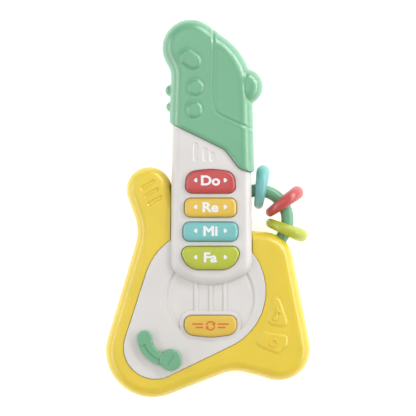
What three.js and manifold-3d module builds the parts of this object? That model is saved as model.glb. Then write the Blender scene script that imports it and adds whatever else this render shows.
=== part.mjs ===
// Toy electric guitar for small children, lying on its back.
// Millimetres. The origin is on the flat back, under the middle of the sound hole.
// +Z comes out of the front face, +Y runs up the neck to the headstock, +X is to the right.

import * as THREE from "three";
import { mergeVertices } from "three/addons/utils/BufferGeometryUtils.js";
import Module from "manifold-3d";

const wasm = await Module();
wasm.setup();

// ---- Driving dimensions ----

const GAP = 0.3; // clearance between neighbouring pieces
const WALL = 2.2; // thickness of the moulded shells
const FAR = 200; // past the object in every direction
const ARC_STEP = Math.PI / 10; // largest turn between the straight steps of an outline's arc
const ROUND_STEPS = 2; // steps in a rounded edge
const SIDES = 12; // sides of a small cylinder

const BODY = { back: 0, seam: 18, front: 31, backRound: 5, frontRound: 9 };
const PLATE = { back: 29.4, front: 31.6, ledge: 1.5, ledgeBack: 27 };
const NECK = { back: 7, seam: 20, front: 35.5, round: 5.5 };
const SPIGOT = { inset: 3, back: 9, front: 33.2, round: 3 };
const HEAD = { back: 4.5, front: 37.5, pad: 1, skirtInset: 1, round: 6.5, skirtRound: 2.2 };
const KEY = { foot: 31, flange: 2, top: 38, flangeOut: 1.1, round: 1.6 };
const MODE = { foot: 27.3, flange: 1.8, top: 34, round: 1.5, bezelOut: 2.6, bezelTop: 32.6 };
const NECK_BAR = { half: 1.8, low: 89.5, depth: 0.8 };
const KEY_LEAD_SLOT = { half: 5, low: 5, high: 12, back: 15.5 };
const BOARD = 1.6; // thickness of a circuit board
const KEY_BOARD = 23.6; // back face of the key circuit board
const MAIN_BOARD = 19.4; // back face of the main circuit board
const SOUND_HOLE = { radius: 26.4, depth: 1 };
const STRINGS = { x: [-9.6, 0.2, 9.6], width: 2.5, low: -11.8, high: 8, rise: 0.2 };
const ARC = { x: 31.7, y: 51, z: 18, radius: 19.7, tube: 4.2, from: -56, to: 127, collar: 5.2 };
const RING = { outer: 14.85, thick: 4.6, thin: 3, z: 15.4 };
const LEVER = { x: -26.3, y: -41.5, hub: 7.1, back: 31.9, front: 35.5, round: 1.2, shaft: 2.4 };
const SPEAKER = { x: -35, y: -32, rim: 18, back: 3 };
const BAY = { left: -6, right: 43, low: -35.2, high: -10.8, roof: 13.6, wall: 1.6 };
const DOOR = { left: -8, right: 45, low: -38, high: -8, thick: 2, tabX: 49, tabY: -23, tab: 4.5 };
const CELL = { radius: 5.25, length: 43.5, nub: 1, x: -2.9, end: 40.1, z: 7.9, y: [-17.2, -28.8] };
const SWITCH = { x: -37, y: 30, width: 5, length: 5, travel: 4, back: 0.5, seat: 4 };
const CONTACT = { x: -5.7, thick: 0.5, back: 3.2, front: 16.4, spring: 3.6, tip: 2, wire: 0.3 };
const BRIDGE = { x: 42.2, low: -33, high: -13, front: 12.8 };
const LEVER_SWITCH = { left: -19.4, right: -14.5, low: -34.6, high: -29, front: 27.2 };
const DOME = { radius: 3.6, sides: 10, sheet: 1 };
const TILE_RISE = 0.8;

// A rounded outline is a belt round a row of circles taken counter-clockwise: [x, y, radius].
// A positive radius is a bulge and a negative radius is a hollow.
const BODY_OUTLINE = [
  [-38.5, -36, 31.1],
  [17, -76.6, -27],
  [45.4, -34.8, 21],
  [35, 22.9, 20],
  [2, 72, -26],
  [-40.9, 71.2, 15],
  [-79.7, 43, -31],
];
const PLATE_OUTLINE = [
  [-3.9, 4, 40.4],
  [-36.5, -33.4, 20.9],
];
const NECK_OUTLINE = [
  [-14.7, 24.1, 12],
  [0.4, 46.7, 39],
  [15.7, 24.1, 12],
  [17.4, 141, 9],
  [-15.9, 141, 9],
];
const HEAD_OUTLINE = [
  [-24.5, 117.3, 3],
  [3.1, 89.3, -10],
  [23.9, 91.5, 8],
  [26.7, 85, 2.5],
  [-15.5, 136.5, 43.3],
  [-13, 165, 19],
  [-40.2, 146, -14],
];
// The thick middle of the cap, whose edges are rounder than its skirt can be.
const HEAD_CORE = [
  [-19.5, 121.5, 7],
  [3.1, 89.3, -10],
  [20.5, 97, 7],
  [-15.5, 136.5, 42.3],
  [-13, 165, 19],
  [-40.2, 146, -14],
];
const KEY_OUTLINES = {
  key_do: [
    [-12, 73.1, 4.3],
    [12, 73.1, 4.3],
    [9.3, 76.6, 6.7],
    [0, 55.5, 28.7],
    [-9.3, 76.6, 6.7],
  ],
  key_re: roundedBox(-17.1, 17.1, 53, 65.3, 4.2),
  key_mi: roundedBox(-18, 18, 37.1, 49.5, 4.3),
  key_fa: [
    [-7.4, 29.5, 11.2],
    [7.4, 29.5, 11.2],
    [14.2, 28.8, 4.7],
    [-14.2, 28.8, 4.7],
  ],
};
const MODE_OUTLINE = [
  [-10.6, -18.5, 6.7],
  [0, 5.4, 31.7],
  [10.6, -18.5, 6.7],
  [12.4, -16.9, 4.8],
  [-12.4, -16.9, 4.8],
];
const TILE_OUTLINES = [
  [
    [40.9, -15.4, 2.5],
    [47.7, -16.6, 2.5],
    [43.3, -3.4, 2.5],
  ],
  [
    [33.6, -29.9, 2.5],
    [44.4, -34.4, 2.5],
    [47.6, -31, 2.5],
    [48.3, -28, 2.5],
    [36.5, -26.3, 2.5],
  ],
];
const LEVER_ARM = [
  [-26.3, -41.5, 5],
  [-31.5, -42, 3.8],
  [-37.6, -38.4, 4.1],
  [-41.6, -33.2, 4.5],
  [-43.6, -27.1, 4.9],
];
const HORN_SLOTS = [
  [-44.9, 71.8, -37.9, 76.4],
  [-42.6, 67.1, -35.5, 71.1],
  [-40.4, 61.6, -33, 66.2],
];
const NECK_BARS = [
  [-9.7, 102.1],
  [-3.5, 99],
  [1.3, 96.1],
];
const HEAD_PEGS = [
  [-26.3, 136.9, 3.8],
  [-26.1, 126, 3.4],
];
const LONG_PAD = [
  [-15.3, 158.8, 5],
  [-11.7, 156.2, 5],
];
const ROUND_PADS = [
  [-9.8, 138.9, 5.3],
  [-10.5, 124.3, 5.3],
];
const PEG = { back: 12, front: 30, round: 2.4 };
const HEAD_KNOB = [23.4, 139, 21, 12]; // [x, y, z, radius]
const HEAD_GROOVE = [
  [2.1, 176.5],
  [1.3, 132],
  [3.4, 123.1],
  [7.5, 119.7],
  [17.6, 115],
  [27.3, 111.3],
];
const RINGS = [
  { name: "rattle_ring_blue", colour: 0x62b4bc, x: 33.8, y: 73, turn: 82 },
  { name: "rattle_ring_red", colour: 0xc93a3c, x: 49.35, y: 63.05, turn: 36 },
  { name: "rattle_ring_lime", colour: 0xb2bf36, x: 50.9, y: 44.5, turn: -21.5 },
];

// Screw places, [x, y].
const BODY_SCREWS = [
  [-42, 68],
  [-50.5, 8],
  [-44, -59.4],
  [-8, -48],
  [58, -38],
  [44, 20],
];
const NECK_SCREWS = [
  [0, 108],
  [0, 136],
];
const KEY_BOARD_SCREWS = [
  [-22, 51.2],
  [22.7, 51.2],
];
const MAIN_BOARD_SCREWS = [
  [-15, -6.5],
  [15, -6.5],
  [-3.5, -32.4],
];
// A screw is [head radius, head height, shank radius, shank length].
const LONG_SCREW = [2.6, 1.8, 1.2, 14.5];
const DOOR_SCREW = [2.6, 1.6, 1.2, 8.5];
const BOARD_SCREW = [1.9, 1.4, 0.9, 6.5];
const LEVER_SCREW = [2.6, 1.4, 0.9, 4.6];

// ---- Making solids ----

function roundedBox(left, right, low, high, radius) {
  return [
    [left + radius, low + radius, radius],
    [right - radius, low + radius, radius],
    [right - radius, high - radius, radius],
    [left + radius, high - radius, radius],
  ];
}

// A closed geometry as a solid that can be joined and cut.
function solid(geometry) {
  geometry.deleteAttribute("normal");
  geometry.deleteAttribute("uv");
  const merged = mergeVertices(geometry, 1e-4);
  const corners = [];
  for (let i = 0; i < merged.index.count; i += 3) {
    const [a, b, c] = merged.index.array.slice(i, i + 3);
    if (a !== b && b !== c && c !== a) {
      corners.push(a, b, c);
    }
  }
  const vertProperties = new Float32Array(merged.attributes.position.array);
  const triVerts = new Uint32Array(corners);
  return new wasm.Manifold(new wasm.Mesh({ numProp: 3, vertProperties, triVerts }));
}

function join(solids) {
  return solids.reduce((whole, piece) => whole.add(piece));
}

function cut(whole, pieces) {
  return pieces.reduce((left, piece) => left.subtract(piece), whole);
}

// The direction of the straight run of the belt from one circle to the next.
function runDirection([x1, y1, r1], [x2, y2, r2]) {
  const distance = Math.hypot(x2 - x1, y2 - y1);
  return Math.atan2(y2 - y1, x2 - x1) - Math.asin((r2 - r1) / distance);
}

// The belt round the circles, moved outwards by grow.
function belt(circles, grow = 0) {
  const grown = circles.map(([x, y, radius]) => [x, y, radius + grow]);
  const corners = grown.flatMap((circle, i) => {
    const [x, y, radius] = circle;
    const hollow = radius < 0;
    const side = hollow ? Math.PI / 2 : -Math.PI / 2;
    const start = runDirection(grown.at(i - 1), circle) + side;
    const end = runDirection(circle, grown[(i + 1) % grown.length]) + side;
    const reach = Math.abs(radius);
    const sweep = THREE.MathUtils.euclideanModulo(hollow ? start - end : end - start, 2 * Math.PI);
    const steps = Math.max(1, Math.ceil(sweep / ARC_STEP));
    return new THREE.EllipseCurve(x, y, reach, reach, start, end, hollow).getPoints(steps);
  });
  return new THREE.Shape(corners);
}

// An outline raised from low to high, with both of its edges rounded inwards by round.
function prism(shape, low, high, round = 0) {
  const geometry = new THREE.ExtrudeGeometry(shape, {
    depth: high - low - 2 * round,
    bevelEnabled: round > 0,
    bevelSize: round,
    bevelThickness: round,
    bevelOffset: -round,
    bevelSegments: ROUND_STEPS,
  });
  return solid(geometry.translate(0, 0, low + round));
}

function box(left, right, low, high, back, front) {
  const geometry = new THREE.BoxGeometry(right - left, high - low, front - back);
  const middle = [(left + right) / 2, (low + high) / 2, (back + front) / 2];
  return solid(geometry.translate(...middle));
}

function cylinder(x, y, radius, back, front, sides = SIDES) {
  const geometry = new THREE.CylinderGeometry(radius, radius, front - back, sides);
  geometry.rotateX(Math.PI / 2);
  return solid(geometry.translate(x, y, (back + front) / 2));
}

// A turned piece about the Z axis. The profile is [radius, z] from its lowest point up.
function turned(profile, sides = SIDES) {
  const points = profile.map(([radius, z]) => new THREE.Vector2(radius, z));
  return solid(new THREE.LatheGeometry(points, sides).rotateX(Math.PI / 2));
}

// A section swept along a smooth path.
function sweep(section, points, steps) {
  const path = new THREE.CatmullRomCurve3(points.map((point) => new THREE.Vector3(...point)));
  const settings = { steps, bevelEnabled: false, extrudePath: path };
  return solid(new THREE.ExtrudeGeometry(section, settings));
}

function roundSection(radius, sides) {
  const corners = [];
  for (let i = 0; i < sides; i++) {
    const turn = (2 * Math.PI * i) / sides;
    corners.push(new THREE.Vector2(radius * Math.cos(turn), radius * Math.sin(turn)));
  }
  return new THREE.Shape(corners);
}

const above = (z) => box(-FAR, FAR, -FAR, FAR, z, FAR);
const below = (z) => box(-FAR, FAR, -FAR, FAR, -FAR, z);
const beyond = (y) => box(-FAR, FAR, y, FAR, -FAR, FAR);
const before = (y) => box(-FAR, FAR, -FAR, y, -FAR, FAR);

// A boss for a screw, and the hole down its middle.
const BOSS = 3.3;
const BORE = 1.5;
const SMALL_BOSS = 2;
const SMALL_BORE = 1.2;

function bosses(places, radius, back, front) {
  return places.map(([x, y]) => cylinder(x, y, radius, back, front, 12));
}

// ---- Neck, its spigot and the cap on it ----

function neckEnvelope(grow) {
  const { back, front, round } = NECK;
  return prism(belt(NECK_OUTLINE, grow), back - grow, front + grow, round + grow);
}

function spigot(grow) {
  const { inset, back, front, round } = SPIGOT;
  return prism(belt(NECK_OUTLINE, grow - inset), back - grow, front + grow, round);
}

function neckSolid() {
  const underCap = prism(belt(HEAD_OUTLINE, GAP), -FAR, FAR);
  return neckEnvelope(0).subtract(underCap).add(spigot(0));
}

// The hollow of the neck is wide behind the keys and narrow inside the spigot.
function neckHollow() {
  const wideEnd = 80;
  const { back, front } = NECK;
  const wide = prism(belt(NECK_OUTLINE, -WALL), back + WALL, front - WALL, NECK.round - 1.5);
  const inset = SPIGOT.inset + WALL;
  const spigotBack = SPIGOT.back + WALL;
  const narrow = prism(belt(NECK_OUTLINE, -inset), spigotBack, SPIGOT.front - WALL, SPIGOT.round / 2);
  return wide.intersect(before(wideEnd)).add(narrow);
}

const SCREW_STEP = 10; // height of the step that a long screw's head pulls on
const NECK_STEP = 12;
const CAP_GAP = 0.35; // clearance round a key or button

function neckFacePlate() {
  const neck = neckSolid().intersect(above(NECK.seam + GAP / 2));
  const plate = prism(belt(PLATE_OUTLINE), PLATE.back, PLATE.front, 0.6);
  const neckBosses = bosses(NECK_SCREWS, BOSS, NECK.seam + GAP / 2, SPIGOT.front - 0.5);
  const bossTop = NECK.front - 1.5;
  const keyBoardBosses = bosses(KEY_BOARD_SCREWS, SMALL_BOSS, KEY_BOARD + BOARD + GAP, bossTop);
  const mainBoardBosses = bosses(
    MAIN_BOARD_SCREWS, SMALL_BOSS, MAIN_BOARD + BOARD + GAP, PLATE.back + 0.5,
  );
  const holeFloor = PLATE.front - SOUND_HOLE.depth;
  const soundHole = cylinder(0, 0, SOUND_HOLE.radius, holeFloor, FAR, 32).subtract(neckEnvelope(0));
  const strings = STRINGS.x.map((x) =>
    box(
      x - STRINGS.width / 2, x + STRINGS.width / 2, STRINGS.low, STRINGS.high + 1,
      holeFloor - 0.5, PLATE.front + STRINGS.rise,
    ),
  );
  const bezel = prism(belt(MODE_OUTLINE, MODE.bezelOut), PLATE.back, MODE.bezelTop, 0.8);
  const modeSlot = prism(belt(MODE_OUTLINE, CAP_GAP), 0, FAR);
  const keySlots = Object.values(KEY_OUTLINES).map((outline) => prism(belt(outline, CAP_GAP), 0, FAR));
  const pocketTop = KEY.foot + KEY.flange + GAP;
  const keyPockets = Object.values(KEY_OUTLINES).map((outline) =>
    prism(belt(outline, KEY.flangeOut + CAP_GAP), KEY_BOARD - 2, pocketTop),
  );
  const bars = NECK_BARS.map(([x, top]) =>
    box(x - NECK_BAR.half, x + NECK_BAR.half, NECK_BAR.low, top, NECK.front - NECK_BAR.depth, FAR),
  );
  const main = join([neck, plate]).subtract(neckHollow());
  const fitted = join([main, ...neckBosses, ...keyBoardBosses, ...mainBoardBosses]);
  const faced = join([fitted.subtract(soundHole), bezel, ...strings]);
  return cut(faced, [
    modeSlot,
    ...keySlots,
    ...keyPockets,
    ...bars,
    ...bosses(NECK_SCREWS, BORE, 0, SPIGOT.front - 4.2),
    ...bosses(KEY_BOARD_SCREWS, SMALL_BORE, 0, bossTop - 2),
    ...bosses(MAIN_BOARD_SCREWS, SMALL_BORE, 0, PLATE.back),
    cylinder(LEVER.x, LEVER.y, LEVER.shaft + GAP, 0, FAR),
    arcTube(GAP),
  ]);
}

function neckRearShell() {
  const shell = neckSolid().intersect(below(NECK.seam - GAP / 2)).subtract(neckHollow());
  const neckBosses = bosses(NECK_SCREWS, BOSS + 1, SPIGOT.back - 1, NECK.seam - GAP / 2);
  const posts = join(neckBosses).intersect(neckSolid());
  const { half, low, high, back } = KEY_LEAD_SLOT;
  const leadSlot = box(-half, half, low, high, back, FAR);
  return cut(shell.add(posts), [
    ...bosses(NECK_SCREWS, BORE, 0, FAR),
    ...bosses(NECK_SCREWS, LONG_SCREW[0] + GAP, 0, NECK_STEP),
    leadSlot,
    arcTube(GAP),
  ]);
}

function headstockTeether() {
  const { back, front, round, skirtInset, skirtRound, pad } = HEAD;
  const core = prism(belt(HEAD_CORE), back, front, round);
  const skirt = prism(belt(HEAD_OUTLINE), back + skirtInset, front - skirtInset, skirtRound);
  const pegs = HEAD_PEGS.map(([x, y, radius]) =>
    prism(belt([[x, y, radius], [x + 4, y, radius]]), PEG.back, PEG.front, PEG.round),
  );
  const [x, y, z, radius] = HEAD_KNOB;
  const knob = solid(new THREE.SphereGeometry(radius, 16, 10).translate(x, y, z));
  const padRound = 0.7;
  const longPad = prism(belt(LONG_PAD), front - 1, front + pad, padRound);
  const roundPads = ROUND_PADS.map(([px, py, padRadius]) =>
    prism(roundSection(padRadius, 14), front - 1, front + pad, padRound).translate([px, py, 0]),
  );
  const groovePath = HEAD_GROOVE.map(([gx, gy]) => [gx, gy, front + 0.3]);
  const groove = sweep(roundSection(0.9, 4), groovePath, 10);
  return cut(join([core, skirt, knob, longPad, ...pegs, ...roundPads]), [groove, spigot(GAP)]);
}

// ---- Keys and what is under them ----

function key(outline) {
  const cap = prism(belt(outline), KEY.foot, KEY.top, KEY.round);
  return cap.add(prism(belt(outline, KEY.flangeOut), KEY.foot, KEY.foot + KEY.flange));
}

function keyCircuitBoard() {
  const wide = prism(belt(NECK_OUTLINE, -3), KEY_BOARD, KEY_BOARD + BOARD).intersect(before(79));
  const narrow = prism(belt(NECK_OUTLINE, -5.8), KEY_BOARD, KEY_BOARD + BOARD).intersect(before(89));
  return cut(wide.add(narrow).intersect(beyond(17)), bosses(KEY_BOARD_SCREWS, SMALL_BORE, 0, FAR));
}

const KEY_MIDDLES = [76, 59.2, 43.3, 27.5]; // Y of the rubber domes under the keys
const DOME_TOP = KEY.foot - 2.3; // leaves a key room for its travel
const MODE_DOME_TOP = MODE.foot - 2.3;

// A rubber sheet with domes on it, lying on a board.
function domeMat(outline, back, places, top) {
  const sheet = prism(belt(outline), back, back + DOME.sheet);
  const domes = places.map(([x, y]) =>
    cylinder(x, y, DOME.radius, back + DOME.sheet / 2, top, DOME.sides),
  );
  return join([sheet, ...domes]);
}

function keyMat() {
  const places = KEY_MIDDLES.flatMap((y) => [[-8, y], [8, y]]);
  return domeMat(roundedBox(-14, 14, 22, 82, 4), KEY_BOARD + BOARD + GAP, places, DOME_TOP);
}

function modeButton() {
  const cap = prism(belt(MODE_OUTLINE), MODE.foot, MODE.top, MODE.round);
  return cap.add(prism(belt(MODE_OUTLINE, KEY.flangeOut), MODE.foot, MODE.foot + MODE.flange));
}

function modeDome() {
  const places = [[-6, -19], [6, -19]];
  return domeMat(roundedBox(-11, 11, -25, -13, 3), MAIN_BOARD + BOARD + GAP, places, MODE_DOME_TOP);
}

function mainCircuitBoard() {
  const board = box(-20, 20, -35.5, -4, MAIN_BOARD, MAIN_BOARD + BOARD);
  const soundChip = cylinder(12, -30, 3.5, MAIN_BOARD + BOARD - 0.2, MAIN_BOARD + BOARD + 1.2);
  return cut(board.add(soundChip), bosses(MAIN_BOARD_SCREWS, SMALL_BORE, 0, FAR));
}

// ---- Whammy lever ----

function whammyLever() {
  const { x, y, hub, back, front, round, shaft } = LEVER;
  const disc = prism(roundSection(hub, 20), back, front, round).translate([x, y, 0]);
  const arm = LEVER_ARM.slice(1).map((circle, i) =>
    prism(belt([LEVER_ARM[i], circle]), back, front - 0.6),
  );
  const slot = prism(belt([[-3.4, 0, 0.8], [3.4, 0, 0.8]]), front - 1, FAR).rotate([0, 0, 57]);
  const pin = cylinder(x, y, shaft, 28.2, back + 1);
  const bore = cylinder(x, y, SMALL_BORE, 20, 32);
  return cut(join([disc, ...arm, pin]), [slot.translate([x, y, 0]), bore]);
}

// The cam under the plate keeps the lever in and works its switch.
function leverCam() {
  const { x, y } = LEVER;
  const lobe = [x + 5, y + 4.2, 1.6];
  return prism(belt([[x, y, 4.6], lobe]), 27, 27.9).subtract(cylinder(x, y, SMALL_BORE, 0, FAR));
}

function leverSwitch() {
  const { left, right, low, high, front } = LEVER_SWITCH;
  const back = MAIN_BOARD + BOARD + GAP;
  const plunger = box(left - 0.5, left + 0.4, low + 1.6, high - 2, back + 3, back + 5);
  return box(left, right, low, high, back, front).add(plunger);
}

// ---- Rattle ----

function arcPoint(degrees) {
  const turn = THREE.MathUtils.degToRad(degrees);
  return [ARC.x + ARC.radius * Math.cos(turn), ARC.y + ARC.radius * Math.sin(turn), ARC.z];
}

function arcRun(from, to, radius, sides, steps) {
  const points = [];
  for (let i = 0; i <= steps; i++) {
    points.push(arcPoint(from + ((to - from) * i) / steps));
  }
  return sweep(roundSection(radius, sides), points, steps);
}

function arcTube(grow) {
  return arcRun(ARC.from, ARC.to, ARC.tube + grow, 10, 14);
}

// A collar at each end, inside the horn and inside the neck, keeps the arc from pulling out.
function rattleArc() {
  const low = arcRun(ARC.from - 1, ARC.from + 5, ARC.collar, 10, 2);
  const high = arcRun(ARC.to - 5, ARC.to + 1, ARC.collar, 10, 2);
  return join([arcTube(0), low, high]);
}

// A ring is thick at its outer end and thin at the end nearest the neck.
function rattleRing() {
  const middle = (RING.thick + RING.thin) / 2;
  const swing = (RING.thick - RING.thin) / 2;
  const geometry = new THREE.TorusGeometry(RING.outer - middle, middle, 8, 20);
  const places = geometry.attributes.position;
  for (let i = 0; i < places.count; i++) {
    const x = places.getX(i);
    const y = places.getY(i);
    const round = Math.atan2(y, x);
    const tube = middle + swing * Math.cos(round);
    const scale = tube / middle;
    const reach = RING.outer - tube + (Math.hypot(x, y) - (RING.outer - middle)) * scale;
    places.setXYZ(i, reach * Math.cos(round), reach * Math.sin(round), places.getZ(i) * scale);
  }
  return solid(geometry.rotateX(Math.PI / 2));
}

// ---- Body shells ----

function bodyHollow(round, back, front) {
  return prism(belt(BODY_OUTLINE, -WALL), back, front, round);
}

function bodyFrontShell() {
  const { seam, front, frontRound } = BODY;
  const mirrored = 2 * seam - front;
  const outer = prism(belt(BODY_OUTLINE), mirrored, front, frontRound);
  const hollow = bodyHollow(frontRound - WALL, mirrored + WALL, front - WALL);
  const screwPosts = join(bosses(BODY_SCREWS, BOSS, seam, front - 1)).intersect(outer);
  const ledgeOuter = prism(belt(PLATE_OUTLINE, 2.5), PLATE.ledgeBack, PLATE.back);
  const ledge = ledgeOuter.intersect(outer);
  const opening = prism(belt(PLATE_OUTLINE, -PLATE.ledge), PLATE.ledgeBack - 1, FAR);
  const rebate = prism(belt(PLATE_OUTLINE, GAP), PLATE.back - GAP, FAR);
  const tiles = TILE_OUTLINES.map((outline) => prism(belt(outline), front - 1, front + TILE_RISE, 0.5));
  const slots = HORN_SLOTS.map(([x1, y1, x2, y2]) =>
    prism(belt([[x1, y1, 1.3], [x2, y2, 1.3]]), front - 1, FAR),
  );
  const shell = join([outer.subtract(hollow), screwPosts, ledge, ...tiles]);
  return cut(shell, [
    below(seam + GAP / 2),
    opening,
    rebate,
    neckEnvelope(GAP),
    arcTube(GAP),
    ...slots,
    ...bosses(BODY_SCREWS, BORE, 0, front - 4.5),
  ]);
}

function batteryBay() {
  const { left, right, low, high, roof, wall } = BAY;
  const outer = box(DOOR.left - wall, DOOR.right + wall, DOOR.low - wall, DOOR.high + wall, 0.5, 5);
  const walls = box(left - wall, right + wall, low - wall, high + wall, 0.5, roof + wall);
  const tabPost = cylinder(DOOR.tabX, DOOR.tabY, DOOR.tab + GAP + wall, 0.5, 12);
  return join([outer, walls, tabPost]);
}

function batteryBaySpaces() {
  const { left, right, low, high, roof } = BAY;
  const cells = box(left, right, low, high, -1, roof);
  const doorway = box(DOOR.left, DOOR.right, DOOR.low, DOOR.high, -1, DOOR.thick + GAP);
  const tabWay = prism(belt(doorTab(GAP)), -1, 2 * DOOR.thick + GAP);
  const contactSlot = box(left, left + 1.2, -30.5, -15.5, roof - 1, FAR);
  return [cells, doorway, tabWay, contactSlot, cylinder(DOOR.tabX, DOOR.tabY, BORE, 0, 11.5)];
}

function doorTab(grow) {
  return [
    [DOOR.right - 4, DOOR.tabY, DOOR.tab + grow],
    [DOOR.tabX, DOOR.tabY, DOOR.tab + grow],
  ];
}

const RIB = 0.8; // half the thickness of an inner rib
const CRADLES = [20, 36]; // Y of the ribs that carry the neck

function bodyRearShell() {
  const { back, seam, backRound } = BODY;
  const mirrored = 2 * seam - back;
  const outer = prism(belt(BODY_OUTLINE), back, mirrored, backRound);
  const hollow = bodyHollow(backRound - WALL, back + WALL, mirrored - WALL);
  const screwPosts = join(bosses(BODY_SCREWS, BOSS + 0.6, back + 1, seam)).intersect(outer);
  const speakerWall = cylinder(SPEAKER.x, SPEAKER.y, SPEAKER.rim + 2, 1, 6, 28).subtract(
    cylinder(SPEAKER.x, SPEAKER.y, SPEAKER.rim + GAP, 0, 7, 28),
  );
  const grille = [-2, -1, 0, 1, 2].map((row) => {
    const half = 13 - 2 * Math.abs(row);
    const y = SPEAKER.y + 5 * row;
    return prism(belt([[SPEAKER.x - half, y, 1.2], [SPEAKER.x + half, y, 1.2]]), -1, 4);
  });
  const cradles = CRADLES.map((y) => box(-20, 20, y - RIB, y + RIB, 1, NECK.back - GAP));
  const { x, y, width, length, travel } = SWITCH;
  const switchPosts = [y - 8.2, y + 8.2].map((middle) =>
    box(x - 4, x + 4, middle - RIB, middle + RIB, 1, 8),
  );
  const switchSlot = box(
    x - width / 2 - GAP, x + width / 2 + GAP,
    y - (length + travel) / 2 - GAP, y + (length + travel) / 2 + GAP, -1, 4,
  );
  const shell = join([
    outer.subtract(hollow), batteryBay(), screwPosts, speakerWall, ...cradles, ...switchPosts,
  ]);
  return cut(shell, [
    above(seam - GAP / 2),
    neckEnvelope(GAP),
    arcTube(GAP),
    ...batteryBaySpaces(),
    ...grille,
    switchSlot,
    ...bosses(BODY_SCREWS, BORE, -1, FAR),
    ...bosses(BODY_SCREWS, LONG_SCREW[0] + GAP, -1, SCREW_STEP),
  ]);
}

// ---- Power ----

function batteryDoor() {
  const { left, right, low, high, thick, tabX, tabY } = DOOR;
  const plate = box(left + GAP, right - GAP, low + GAP, high - GAP, 0, thick);
  const tab = prism(belt(doorTab(0)), 0, 2 * thick);
  const clearOfWall = box(right - 9, right + WALL, tabY - 9, tabY + 9, thick, FAR);
  return cut(plate.add(tab.subtract(clearOfWall)), [
    cylinder(tabX, tabY, DOOR_SCREW[0] + GAP, -1, 2.4),
    cylinder(tabX, tabY, BORE, -1, FAR),
  ]);
}

function battery() {
  const { radius, length, nub } = CELL;
  const profile = [
    [0, 0],
    [radius, 0],
    [radius, length],
    [1.9, length],
    [1.9, length + nub],
    [0, length + nub],
  ];
  return turned(profile, 14).rotate([0, 90, 0]);
}

// A conical spring along X, from a wide end at the plate to a narrow end at the cell.
function contactSpring(x, y, reach) {
  const turns = 3;
  const points = [];
  for (let i = 0; i <= turns * 8; i++) {
    const along = i / (turns * 8);
    const radius = CONTACT.spring + (CONTACT.tip - CONTACT.spring) * along;
    const turn = 2 * Math.PI * turns * along;
    points.push([x + reach * along, y + radius * Math.cos(turn), CELL.z + radius * Math.sin(turn)]);
  }
  return sweep(roundSection(CONTACT.wire, 4), points, turns * 8);
}

function batteryBridge() {
  const { x, low, high, front } = BRIDGE;
  const plate = box(x, x + CONTACT.thick, low, high, CONTACT.back, front);
  return plate.add(contactSpring(x + 0.2, CELL.y[1], -1.7));
}

function batteryPositive() {
  const { x, thick, back, front } = CONTACT;
  return box(x, x + thick, CELL.y[1] - 1.2, CELL.y[1] + 4.8, back + 0.8, front);
}

function batteryNegative() {
  const { x, thick, back, front } = CONTACT;
  const plate = box(x, x + thick, CELL.y[0] - 4.8, CELL.y[0] + 1.2, back, front);
  return plate.add(contactSpring(x + GAP, CELL.y[0] - 0.6, 1.9));
}

function powerSwitchSlider() {
  const { width, length, travel, back, seat } = SWITCH;
  const low = -(length + travel) / 2;
  const knob = box(-width / 2, width / 2, low, low + length, back, seat - 1);
  const flange = 1.2;
  const half = width / 2 + flange + 0.1;
  return knob.add(box(-half, half, low - flange, low + length + flange, WALL + GAP, seat - 0.1));
}

function powerSwitchBody() {
  const { x, y, seat } = SWITCH;
  return box(x - 4.2, x + 4.2, y - 6.9, y + 6.9, seat + 0.2, seat + 5);
}

// ---- Speaker ----

function speakerBasket() {
  const profile = [
    [13.6, 0],
    [18, 0],
    [18, 2],
    [16, 2],
    [10, 7.6],
    [6, 7.6],
    [6, 6.6],
    [9.4, 6.6],
    [14.4, 2],
    [13.6, 2],
    [13.6, 0],
  ];
  return turned(profile, 18);
}

function speakerCone() {
  const profile = [
    [0, 3.2],
    [4, 3.6],
    [13, 0.4],
    [13, 1],
    [5, 5.2],
    [5, 7.4],
    [0, 7.4],
  ];
  return turned(profile, 18);
}

function speakerMagnet() {
  return cylinder(0, 0, 8, 8, 12.5, 20);
}

// ---- Leads ----

const FLAT_LEAD = roundSection(0.8, 6);
const RIBBON = new THREE.Shape([
  new THREE.Vector2(-3.5, -0.5),
  new THREE.Vector2(3.5, -0.5),
  new THREE.Vector2(3.5, 0.5),
  new THREE.Vector2(-3.5, 0.5),
]);
const LEADS = {
  key_lead: [
    RIBBON,
    [
      [0, 20, 22.7],
      [0, 15, 19.5],
      [0, 9, 17.6],
      [0, 3, 17.2],
      [0, -5, 18.4],
    ],
  ],
  speaker_lead: [
    FLAT_LEAD,
    [
      [-24.2, -32, 11.6],
      [-21.5, -31, 15],
      [-18, -29.5, 18.3],
    ],
  ],
  battery_lead: [
    FLAT_LEAD,
    [
      [-5.4, -23, 16.1],
      [-9, -23, 17],
      [-13, -23, 18.3],
    ],
  ],
  switch_lead: [
    FLAT_LEAD,
    [
      [-37, 28, 9.9],
      [-36.5, 18, 11.5],
      [-32, 4, 13],
      [-24, -6, 15],
      [-18, -12, 18.3],
    ],
  ],
};

// ---- Fasteners ----

function screw([headRadius, headHeight, shankRadius, length]) {
  const profile = [
    [0, 0],
    [headRadius, 0],
    [headRadius, headHeight],
    [shankRadius, headHeight],
    [shankRadius, headHeight + length],
    [0, headHeight + length],
  ];
  return turned(profile, 8);
}

// ---- Materials ----

function plastic(colour, roughness = 0.42) {
  return new THREE.MeshStandardMaterial({ color: colour, roughness, metalness: 0 });
}

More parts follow.
